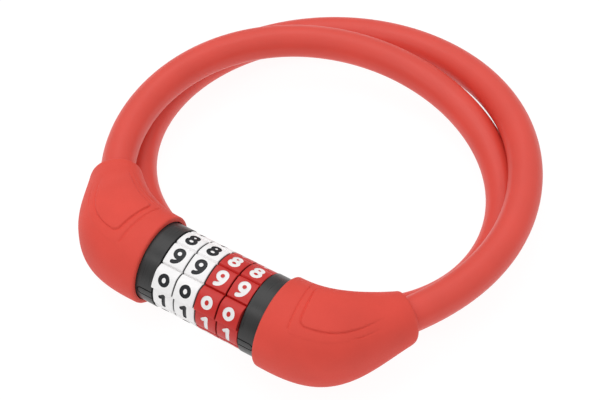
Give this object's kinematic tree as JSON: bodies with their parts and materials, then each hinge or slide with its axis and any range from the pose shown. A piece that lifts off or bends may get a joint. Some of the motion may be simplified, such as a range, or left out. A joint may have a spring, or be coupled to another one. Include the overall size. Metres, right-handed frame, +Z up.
{
  "type": "cable lock",
  "caption": "Combination cable lock: a short barrel of turning number dials with rubber elbow boots and a thick plastic-covered steel cable lying in a loose coil.",
  "frame": {"origin": "centre of the cable loop, on the surface that the lock lies on", "axes": "+X along the lock barrel towards the plug that pulls out, +Y from the barrel across the loop, +Z up"},
  "size_m": [0.1539, 0.1642, 0.0367],
  "materials": {
    "steel": "turned, zinc plated",
    "black_collar": "satin black moulding",
    "spring_steel": "bright spring steel",
    "dark_zinc": "die-cast zinc, dark",
    "aluminium": "swaged sleeve",
    "black_screw": "black oxide",
    "red_rubber": "matt moulded rubber",
    "red_vinyl": "satin extruded vinyl",
    "galvanised_wire": "galvanised strands",
    "white_dial": "satin white moulding with black figures",
    "red_dial": "satin red moulding with white figures",
    "brass": "machined"
  },
  "bodies": {
    "lock_body": {"core_tube": "steel", "left_collar": "black_collar", "right_collar": "black_collar", "retaining_ring": "spring_steel", "spacer_washers": "spring_steel", "detent_spring": "spring_steel", "left_elbow": "dark_zinc", "left_roll_pin": "spring_steel", "left_ferrule": "aluminium", "left_grub_screw": "black_screw", "left_boot": "red_rubber", "cable_jacket": "red_vinyl", "steel_rope": "galvanised_wire"},
    "dial_1": {"number_wheel_1": "white_dial", "tumbler_ring_1": "brass"},
    "dial_2": {"number_wheel_2": "white_dial", "tumbler_ring_2": "brass"},
    "dial_3": {"number_wheel_3": "red_dial", "tumbler_ring_3": "brass"},
    "dial_4": {"number_wheel_4": "red_dial", "tumbler_ring_4": "brass"},
    "plug": {"locking_pin": "steel", "right_elbow": "dark_zinc", "right_roll_pin": "spring_steel", "right_ferrule": "aluminium", "right_grub_screw": "black_screw", "right_boot": "red_rubber"}
  },
  "joints": [
    {"name": "dial_1_turn", "type": "hinge", "parent": "lock_body", "child": "dial_1", "pos_m": [0, -0.06, 0.021], "axis": [1, 0, 0], "continuous": true},
    {"name": "dial_2_turn", "type": "hinge", "parent": "lock_body", "child": "dial_2", "pos_m": [0, -0.06, 0.021], "axis": [1, 0, 0], "continuous": true},
    {"name": "dial_3_turn", "type": "hinge", "parent": "lock_body", "child": "dial_3", "pos_m": [0, -0.06, 0.021], "axis": [1, 0, 0], "continuous": true},
    {"name": "dial_4_turn", "type": "hinge", "parent": "lock_body", "child": "dial_4", "pos_m": [0, -0.06, 0.021], "axis": [1, 0, 0], "continuous": true},
    {"name": "plug_slide", "type": "slide", "parent": "lock_body", "child": "plug", "axis": [1, 0, 0], "range_m": [0, 0.055], "deforming": ["cable_jacket", "steel_rope"]}
  ]
}
